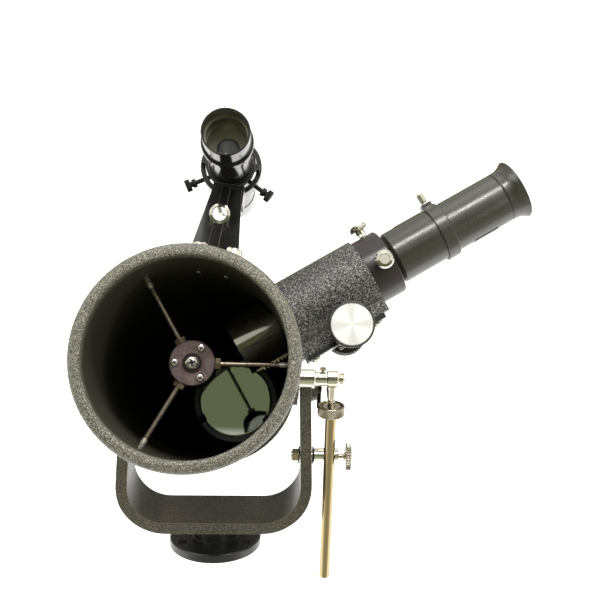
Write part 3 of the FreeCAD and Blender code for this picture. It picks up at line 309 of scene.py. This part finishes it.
# painted sheen: colour lighter and darker by angle around the knob axis, an X-shaped painted highlight
painted_sheen = math_node(nt, "COSINE", math_node(nt, "MULTIPLY", math_node(nt, "ADD", ang, 0.45), 4.0))
painted_sheen = math_node(nt, "ADD", math_node(nt, "MULTIPLY", painted_sheen, 0.5), 0.5)
rings = nt.nodes.new("ShaderNodeTexNoise"); rings.noise_dimensions = "1D"
rings.inputs["Scale"].default_value = 9000.0
nt.links.new(r, rings.inputs["W"])
c = ramp(nt, painted_sheen, [(0.0, (0.93, 0.94, 0.94)), (0.55, (0.86, 0.87, 0.86)), (1.0, (0.70, 0.70, 0.68))])
c = mixc(nt, math_node(nt, "MULTIPLY", rings.outputs["Fac"], 0.3), c, (0.97, 0.98, 0.98))
rear = math_node(nt, "LESS_THAN", h, 0.0)
nt.links.new(mixc(nt, rear, c, (0.05, 0.06, 0.08)), b.inputs["Base Color"])
b.inputs["Metallic"].default_value = 0.6
b.inputs["Roughness"].default_value = 0.42
bump(nt, b, rings.outputs["Fac"], 0.25, 0.00005)
M["spun"] = m

m, nt, b = new_mat("front_mirror")
mn = noise(nt, 90.0, 3.0, 0.5)
nt.links.new(mixc(nt, mn, (0.86, 0.88, 0.83), (0.80, 0.83, 0.78)), b.inputs["Base Color"])
b.inputs["Metallic"].default_value = 1.0
b.inputs["Roughness"].default_value = 0.015
M["mirror"] = m

m, nt, b = new_mat("coated_glass")
gn = noise(nt, 60.0, 2.0, 0.5)
nt.links.new(mixc(nt, gn, (0.06, 0.075, 0.07), (0.045, 0.06, 0.07)), b.inputs["Base Color"])
b.inputs["Roughness"].default_value = 0.03
b.inputs["Specular IOR Level"].default_value = 0.5
b.inputs["Alpha"].default_value = 0.07
M["glass"] = m

# finder barrel: gloss enamel outside, bare turned bore that catches the light
m, nt, b = new_mat("finder_barrel")
r, s_, _ = radius_from(nt, G)
bore = math_node(nt, "LESS_THAN", r, 0.01235)
turn = nt.nodes.new("ShaderNodeTexNoise"); turn.noise_dimensions = "1D"
turn.inputs["Scale"].default_value = 2600.0
nt.links.new(s_, turn.inputs["W"])
tone = ramp(nt, turn.outputs["Fac"], [(0.35, (0.20, 0.185, 0.15)), (0.65, (0.50, 0.475, 0.40))])
behind = math_node(nt, "LESS_THAN", s_, 0.1885)
tone = mixc(nt, behind, tone, (0.012, 0.012, 0.008))
nt.links.new(mixc(nt, bore, (0.009, 0.0085, 0.007), tone), b.inputs["Base Color"])
nt.links.new(math_node(nt, "MULTIPLY", bore, 0.95), b.inputs["Metallic"])
nt.links.new(math_node(nt, "ADD", math_node(nt, "MULTIPLY", bore, 0.16), 0.15), b.inputs["Roughness"])
b.inputs["Specular IOR Level"].default_value = 0.65
M["finder"] = m

USE = {
    "optical_tube": "tube", "front_ring": "wrinkle", "rear_cell": "wrinkle", "primary_mirror": "mirror",
    "mirror_cell_plate": "alu", "mirror_clips": "black_steel", "collimation_screws": "steel", "collimation_bushes": "rubber",
    "spider_hub": "hub", "spider_rods": "rodspider", "spider_nuts": "brass", "small_screws": "steel", "secondary_screws": "hub_screws",
    "secondary_holder": "satin", "secondary_mirror": "mirror", "focuser_housing": "wrinkle_dark", "pinion_cover": "moulded",
    "drawtube": "dark_chrome", "focus_rack": "brass", "pinion_shaft": "steel", "focus_knobs": "satin", "knob_faces": "spun",
    "eyepiece_collar": "collar", "collar_screw_top": "chrome", "collar_screw_front": "chrome", "erector_tube": "barrel",
    "erector_lenses": "glass", "clamp_ring": "barrel", "clamp_ring_screw": "chrome", "eyepiece_body": "barrel", "eyecup": "barrel",
    "eyepiece_lenses": "glass", "finder_objective_cell": "finder", "finder_objective_lens": "glass", "finder_tube": "finder",
    "finder_eyepiece": "gloss", "finder_eye_lens": "glass", "finder_bracket": "moulded", "bracket_eyelet": "chrome",
    "finder_screw_top": "dull", "finder_screw_left": "dull", "finder_screw_right": "dull", "bracket_thumb_screws": "chrome",
    "cradle_ring": "textured", "cradle_felt": "dull", "yoke": "textured", "washers": "dull", "pivot_bolts": "steel",
    "altitude_lock_lever": "black_steel", "rod_anchor": "chrome", "anchor_thumb_nut": "chrome", "rod_swivel": "chrome",
    "fine_wheel": "steel", "altitude_rod": "rod", "clamp_post": "chrome", "post_nut": "brass", "clamp_thumb_screw": "steel",
    "azimuth_base": "satin", "azimuth_retaining_screw": "steel", "azimuth_lock_knob": "dull",
}
for node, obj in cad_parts.items():
    mat = M[USE[node]]
    obj.data.materials.clear() if not obj.material_slots else None
    if not obj.material_slots:
        obj.data.materials.append(mat)
    for sl in obj.material_slots:
        sl.material = mat

# ------------------------------------------------------------ mesh helpers
def smooth(obj, deg=35):
    for pl in obj.data.polygons:
        pl.use_smooth = True
    me = obj.data
    bm = bmesh.new(); bm.from_mesh(me)
    lim = math.radians(deg)
    for e in bm.edges:
        if len(e.link_faces) == 2 and e.calc_face_angle(0) > lim:
            e.smooth = False
    bm.to_mesh(me); bm.free()

def lathe(name, prof, mat, frame_m, body, segs=96, knurl=None, closed=True, replaces=None, deg=35):
    """turned piece from an (r, z) outline in mm; knurl = (count, depth, z0, z1) cuts straight ridges"""
    me = bpy.data.meshes.new(name)
    verts, faces, rings = [], [], []
    n = segs
    for (r, z) in prof:
        if r < 1e-6:
            rings.append([len(verts)])
            verts.append(frame_m @ Vector((0, 0, z * MM)))
            continue
        ring = []
        for k in range(n):
            a = 2 * math.pi * k / n
            rr = r
            if knurl and knurl[2] - 1e-6 <= z <= knurl[3] + 1e-6 and r > knurl[4]:
                rr = r - knurl[1] * (0.5 - 0.5 * math.cos(a * knurl[0]))
            ring.append(len(verts))
            verts.append(frame_m @ Vector((rr * math.cos(a) * MM, rr * math.sin(a) * MM, z * MM)))
        rings.append(ring)
    seq = list(zip(rings, rings[1:])) + ([(rings[-1], rings[0])] if closed else [])
    for a, b2 in seq:
        if len(a) == 1 and len(b2) == 1:
            continue
        for k in range(n):
            k2 = (k + 1) % n
            if len(a) == 1:
                faces.append((a[0], b2[k2], b2[k]))
            elif len(b2) == 1:
                faces.append((a[k], a[k2], b2[0]))
            else:
                faces.append((a[k], a[k2], b2[k2], b2[k]))
    me.from_pydata(verts, [], faces)
    me.update()
    ob = bpy.data.objects.new(name, me)
    scene.collection.objects.link(ob)
    bm = bmesh.new(); bm.from_mesh(me)
    bmesh.ops.recalc_face_normals(bm, faces=bm.faces)
    bm.to_mesh(me); bm.free()
    smooth(ob, deg)
    me.materials.append(M[mat])
    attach(ob, body)
    if replaces:
        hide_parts(*replaces)
    return ob

def rounded(prof, r=0.3, steps=3):
    """round every corner of an outline by a small radius"""
    out = []
    n = len(prof)
    for i in range(n):
        p0, p1, p2 = Vector(prof[i - 1]), Vector(prof[i]), Vector(prof[(i + 1) % n])
        if p1.x < 1e-6 or (p0 - p1).length < 1e-6 or (p2 - p1).length < 1e-6:
            out.append(tuple(p1)); continue
        d = min(r, (p0 - p1).length * 0.45, (p2 - p1).length * 0.45)
        a = p1 + (p0 - p1).normalized() * d
        c = p1 + (p2 - p1).normalized() * d
        for k in range(steps + 1):
            t = k / steps
            q2 = a * (1 - t) ** 2 + p1 * 2 * t * (1 - t) + c * t * t
            out.append((q2.x, q2.y))
    return out

# ------------------------------------------------------- pieces with detail
# primary mirror: thick disc with a ground hollow, focal length about 700
f_mm = 700.0
pm = [(0, 0), (37.6, 0), (38.0, 0.4), (38.0, 9.0 + 0.35), (37.7, 9.0 + 0.5)]
k = 28
for i in range(k + 1):
    rr = 37.6 * (1 - i / k)
    pm.append((rr, 9.0 + rr * rr / (4 * f_mm)))
lathe("ground_mirror", pm, "mirror", T @ mv(0, 0, -367.1) @ rot("Y", 0.2) @ mv(0, 0, -5.0), "tube", 160, replaces=["primary_mirror"], deg=25)

# front ring with a rolled lip
ring = [(48.1, 16.0), (48.1, 21.0)]
for i in range(9):
    t = math.pi / 2 * i / 8
    ring.append((50.1 - 2.0 * math.cos(t), 21.0 + 1.9 * math.sin(t)))
for i in range(1, 13):
    t = math.pi / 2 * i / 12
    ring.append((51.2 + 3.45 * math.sin(t), 18.0 + 4.9 * math.cos(t)))
ring += [(54.7, 1.0), (53.9, 0), (51.25, 0), (51.25, 17.0), (50.05, 17.0), (50.05, 16.0)]
lathe("front_ring_cast", ring, "wrinkle", T @ mv(0, 0, 259.6), "tube", 180, replaces=["front_ring"], deg=30)

# spider rods: thin plated rods with a sleeve at the wall
for kk in (0, 120, 240):
    lathe("spider_rod_%d" % kk, [(0, 4.5), (1.22, 4.5), (1.22, 44.4), (1.5, 44.7), (1.5, 49.7), (0, 49.7)], "rodspider", T @ radial(kk, 235.9), "tube", 40, replaces=["spider_rods"])

# near-black cross blocks in the four screw heads of the hub, standing in for the shade inside their cross recesses
def cross(name, items, body):
    verts, faces = [], []
    for fr, r_, h_ in items:
        w_, l_ = r_ * 0.26 + 0.03, r_ * 1.15 + 0.03
        for a_ in (0, 90):
            fm = fr @ rot("Z", a_)
            o = len(verts)
            for z_ in (h_ * 0.45, h_ * 0.93):
                for sx, sy in ((-1, -1), (1, -1), (1, 1), (-1, 1)):
                    verts.append(fm @ Vector((sx * l_ / 2 * MM, sy * w_ / 2 * MM, z_ * MM)))
            faces += [(o, o + 3, o + 2, o + 1), (o + 4, o + 5, o + 6, o + 7), (o, o + 1, o + 5, o + 4), (o + 1, o + 2, o + 6, o + 5), (o + 2, o + 3, o + 7, o + 6), (o + 3, o, o + 4, o + 7)]
    me = bpy.data.meshes.new(name)
    me.from_pydata(verts, [], faces)
    ob = bpy.data.objects.new(name, me)
    scene.collection.objects.link(ob)
    me.materials.append(M["recess"])
    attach(ob, body)
    return ob
HUB_FACE = 235.9 + 1.7 + 2.0
HS = T @ mv(0, 0, HUB_FACE)
cross("hub_screw_recesses", [(HS @ mv(0, 0, 0.8) @ rot("Z", 12), 3.4, 2.2)] +
      [(HS @ mv(8.7 * math.cos(math.radians(q)), 8.7 * math.sin(math.radians(q)), 0) @ rot("Z", q + 20), 2.0, 1.5) for q in (60, 180, 300)], "tube")

# focus knobs, knurled
kr = 12.6
knob = rounded([(2.5, 0), (6.0, 0), (7.0, 1.0), (7.0, 3.6), (kr - 1.0, 3.6), (kr - 0.2, 4.4), (kr - 0.1, 10.2), (kr - 0.5, 10.6), (kr, 11.0), (kr, 11.8), (kr - 0.5, 12.1), (kr - 1.0, 12.1), (kr - 1.0, 11.0), (2.5, 11.0)], 0.15, 2)
KN = KNOB
for nm, y, tr in (("front", -18.5, TO_NY), ("rear", 18.5, TO_Y)):
    lathe("focus_knob_" + nm, knob, "knurl_black", KN @ mv(0, y, 0) @ tr, "pinion", 336, knurl=(56, 0.55, 4.2, 10.3, 10.0), replaces=["focus_knobs"])

# knurled wheel and clamp knob on the altitude rod
AW = T @ Vector((83.0 * MM, 4.5 * MM, 19.4 * MM))
CW = Vector((83.0, -9.6, 75.8)) * MM
dy, dz = CW.y - AW.y, AW.z - CW.z
L = math.hypot(dy, dz)
psi = math.atan2(dy, dz) - math.asin(0.0035 / L)
RD = Matrix.Translation(AW) @ rot("X", 180 + math.degrees(psi))
lathe("fine_wheel_knurled", rounded([(2.9, 20.7), (6.6, 20.7), (6.9, 22.4), (8.2, 22.4), (8.6, 20.5), (9.3, 20.25), (9.85, 20.9), (9.85, 27.2), (9.3, 28.0), (5.0, 28.35), (4.3, 28.35), (4.3, 25.0), (2.9, 25.0)], 0.2, 2),
      "wheel", RD, "fine_wheel", 480, knurl=(120, 0.16, 21.0, 27.2, 9.4), replaces=["fine_wheel"])
CP = Matrix.Translation(Vector((0, CW.y, CW.z))) @ rot("X", math.degrees(psi))
lathe("clamp_thumb_screw_knurled", rounded([(0, 87.35), (1.9, 87.35), (1.9, 93.6), (3.3, 93.8), (3.4, 94.8), (9.3, 95.0), (10.3, 95.5), (10.3, 98.7), (9.3, 99.2), (6.5, 99.2), (6.0, 98.4), (3.6, 98.4), (3.2, 99.5), (0, 99.5)], 0.2, 2),
      "steel", CP @ mv(0, -1.925, 0) @ TO_X, "clamp_screw", 320, knurl=(32, 0.9, 95.2, 98.9, 9.0), replaces=["clamp_thumb_screw"])

# finder screws, coarse knurl
adj = rounded([(0, 12.95), (0.9, 12.95), (1.4, 13.5), (1.4, 23.0), (2.7, 23.0), (2.7, 25.2), (1.8, 25.6), (1.8, 26.6), (3.5, 26.6), (3.8, 27.0), (3.8, 29.4), (3.4, 29.75), (0, 29.75)], 0.12, 2)
for nm, kk in (("top", 90), ("left", 210), ("right", 330)):
    lathe("finder_screw_%s_knurled" % nm, adj, "dull", G @ mv(0, 0, 146) @ radial(kk), "finder_screw_" + nm, 180, knurl=(18, 0.45, 26.8, 29.5, 3.0), replaces=["finder_screw_" + nm])

# bracket thumb screws
bts = rounded([(0, 48.9), (1.3, 48.9), (2.0, 49.6), (2.0, 56.05), (5.2, 56.05), (5.2, 57.2), (4.5, 57.6), (4.5, 64.9), (3.9, 65.7), (0, 65.7)], 0.15, 2)
for kk in (90.0, 73.0):
    lathe("bracket_thumb_screw_%d" % kk, bts, "chrome", T @ radial(kk, 218.0), "tube", 240, knurl=(30, 0.22, 57.7, 65.0, 4.0), replaces=["bracket_thumb_screws"])

# eyecup with a smooth flare
pR = 14.9
cup = [(9.4, 0.05), (pR - 0.25, 0.05), (pR - 0.05, 0.3)]
for i in range(15):
    t = i / 14
    cup.append((pR + 0.05 + 2.75 * t ** 2.6, 0.9 + 8.9 * t))
cup += [(pR + 2.95, 10.2), (pR + 2.8, 10.6), (pR + 2.45, 10.7), (pR + 1.2, 9.6), (pR - 0.4, 8.2), (11.0, 6.8), (9.4, 6.0)]
lathe("eyecup_flared", cup, "barrel", F @ mv(0, 0, 199.0), "eyepiece", 128, replaces=["eyecup"])

# lenses ground to curves
def lens(name, R, z0, zt, sag, frm, body, node):
    pr = [(0, z0)]
    for i in range(1, 9):
        rr = R * i / 8
        pr.append((rr, z0 + sag * (rr / R) ** 2))
    for i in range(8, -1, -1):
        rr = R * i / 8
        pr.append((rr, zt - sag * (rr / R) ** 2))
    return lathe(name, pr, "glass", frm, body, 96, replaces=[node], deg=40)
lens("finder_objective_ground", 11.4, 0.1, 4.4, 1.3, G @ mv(0, 0, 226.7 - 23.7 + 6.4), "finder", "finder_objective_lens")

# blank plates: one let into the erecting tube, one under the eyepiece
def plate(name, r, half, x0, x1, side, mat, body, thick=0.32, inset=0.0):
    """thin curved plate lying on a barrel, side -1 = top, +1 = underside"""
    verts, faces = [], []
    na, nz = 10, 8
    amax = half / r
    for layer in (0, 1):
        rr = r + 0.02 + (thick if layer else 0)
        for i in range(na + 1):
            a = -amax + 2 * amax * i / na
            for j in range(nz + 1):
                z = x0 + (x1 - x0) * j / nz
                verts.append(F @ (Vector((side * rr * math.cos(a), rr * math.sin(a), z)) * MM))
    N1 = (na + 1) * (nz + 1)
    idx = lambda l, i, j: l * N1 + i * (nz + 1) + j
    for i in range(na):
        for j in range(nz):
            faces.append((idx(0, i, j), idx(0, i, j + 1), idx(0, i + 1, j + 1), idx(0, i + 1, j)))
            faces.append((idx(1, i, j), idx(1, i + 1, j), idx(1, i + 1, j + 1), idx(1, i, j + 1)))
    for i in range(na):
        faces.append((idx(0, i, 0), idx(0, i + 1, 0), idx(1, i + 1, 0), idx(1, i, 0)))
        faces.append((idx(0, i, nz), idx(1, i, nz), idx(1, i + 1, nz), idx(0, i + 1, nz)))
    for j in range(nz):
        faces.append((idx(0, 0, j), idx(1, 0, j), idx(1, 0, j + 1), idx(0, 0, j + 1)))
        faces.append((idx(0, na, j), idx(0, na, j + 1), idx(1, na, j + 1), idx(1, na, j)))
    me = bpy.data.meshes.new(name)
    me.from_pydata(verts, [], faces)
    ob = bpy.data.objects.new(name, me)
    scene.collection.objects.link(ob)
    bm = bmesh.new(); bm.from_mesh(me); bmesh.ops.recalc_face_normals(bm, faces=bm.faces); bm.to_mesh(me); bm.free()
    smooth(ob, 40)
    me.materials.append(M[mat])
    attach(ob, body)
    return ob
plate("erector_blank_plate", 15.4, 3.8, 134.8, 152.6, -1, "steel", "erector")
plate("eyepiece_blank_plate", 14.9, 3.4, 172.5, 188.2, 1, "satin", "eyepiece")

# ------------------------------------------------------------------- stage
def stage_plane(name, size, loc, col):
    me = bpy.data.meshes.new(name)
    s2 = size / 2
    me.from_pydata([(-s2, -s2, 0), (s2, -s2, 0), (s2, s2, 0), (-s2, s2, 0)], [], [(0, 1, 2, 3)])
    ob = bpy.data.objects.new(name, me)
    ob.location = loc
    scene.collection.objects.link(ob)
    mm, nt2, b2 = new_mat(name + "_mat")
    b2.inputs["Base Color"].default_value = (*col, 1)
    b2.inputs["Roughness"].default_value = 0.9
    me.materials.append(mm)
    return ob
floor = stage_plane("floor", 8.0, (0, 0, -0.45), (0.95, 0.95, 0.95))
for v, (x, y) in zip(floor.data.vertices, ((-12, -0.34), (12, -0.34), (12, 24), (-12, 24))):
    v.co = (x, y, 0)
fb = floor.data.materials[0].node_tree.nodes["Principled BSDF"]
fb.inputs["Emission Color"].default_value = (1, 1, 1, 1)
fb.inputs["Emission Strength"].default_value = 0.75

def area(name, loc, target, size, power, col=(1, 1, 1), sy=None):
    d = bpy.data.lights.new(name, "AREA")
    d.energy = power
    d.color = col
    d.shape = "RECTANGLE"
    d.size = size
    d.size_y = sy or size
    o = bpy.data.objects.new(name, d)
    o.location = loc
    o.rotation_euler = (Vector(target) - Vector(loc)).to_track_quat("-Z", "Y").to_euler()
    scene.collection.objects.link(o)
    return o
area("key_left", (-1.3, -0.9, 1.0), (0, -0.2, 0.2), 0.7, 7, (1, 0.985, 0.94), 1.1)
area("fill_right", (1.25, -1.35, 0.75), (-0.05, -0.2, 0.2), 0.5, 7, (1, 0.985, 0.94), 0.9)
area("strip_top", (0.25, -0.85, 1.5), (0.12, -0.2, 0.25), 1.2, 16, (1, 0.98, 0.93), 0.16)
area("top", (0.1, 0.1, 1.8), (0.05, -0.1, 0.2), 1.1, 5)

world = bpy.data.worlds.new("studio")
scene.world = world
world.use_nodes = True
nt = world.node_tree
bg = nt.nodes["Background"]
tc = nt.nodes.new("ShaderNodeTexCoord").outputs["Generated"]
def facing(v):
    d = nt.nodes.new("ShaderNodeVectorMath"); d.operation = "DOT_PRODUCT"
    d.inputs[1].default_value = Vector(v).normalized()
    nt.links.new(tc, d.inputs[0])
    return math_node(nt, "ADD", math_node(nt, "MULTIPLY", d.outputs["Value"], 0.5), 0.5)
front = facing((0.05, -0.97, 0.22))
up = facing((0, 0, 1))
high = ramp(nt, front, [(0.0, (0.34, 0.25, 0.14)), (0.30, (0.62, 0.55, 0.42)), (0.46, (1.0, 0.99, 0.95)), (0.62, (1.0, 0.99, 0.95)), (0.77, (0.42, 0.40, 0.31)), (0.87, (0.14, 0.157, 0.085)), (1.0, (0.125, 0.145, 0.08))])
low = ramp(nt, front, [(0.0, (0.34, 0.25, 0.14)), (0.30, (0.55, 0.46, 0.32)), (0.46, (0.9, 0.86, 0.76)), (0.66, (0.9, 0.86, 0.76)), (0.84, (0.5, 0.49, 0.38)), (1.0, (0.40, 0.41, 0.30))])
level = ramp(nt, up, [(0.44, 0.0), (0.54, 1.0)])
soft_box = ramp(nt, up, [(0.7094, 0.0), (0.7097, 1.0)])
high = mixc(nt, math_node(nt, "MULTIPLY", soft_box, 0.8), high, (1.0, 0.99, 0.95))
col = mixc(nt, level, low, high)
lp = nt.nodes.new("ShaderNodeLightPath")
final = mixc(nt, lp.outputs["Is Camera Ray"], col, (1.0, 1.0, 1.0))
nt.links.new(final, bg.inputs["Color"])
bg.inputs["Strength"].default_value = 1.0

# ------------------------------------------------------------------ camera
cam_d = bpy.data.cameras.new("camera")
cam = bpy.data.objects.new("camera", cam_d)
scene.collection.objects.link(cam)
p, yw, rl = math.radians(14.01), math.radians(5.72), math.radians(2.81)
fwd = Vector((math.sin(yw) * math.cos(p), math.cos(yw) * math.cos(p), -math.sin(p)))
right = Vector((math.cos(yw), -math.sin(yw), 0))
down = fwd.cross(right)
r2 = right * math.cos(rl) - down * math.sin(rl)
d2 = right * math.sin(rl) + down * math.cos(rl)
mat4 = Matrix(((r2.x, -d2.x, -fwd.x, 0), (r2.y, -d2.y, -fwd.y, 0), (r2.z, -d2.z, -fwd.z, 0), (0, 0, 0, 1)))
cam.matrix_world = Matrix.Translation(Vector((42.42, -739.21, 383.57)) * MM) @ mat4
cam_d.sensor_width = 36.0
cam_d.lens = 1056.91 / 600 * 36.0
cam_d.shift_x = (300 - 380.65) / 600
cam_d.shift_y = (292.86 - 300) / 600
cam_d.clip_start = 0.01
scene.camera = cam
scene.view_settings.view_transform = "Standard"
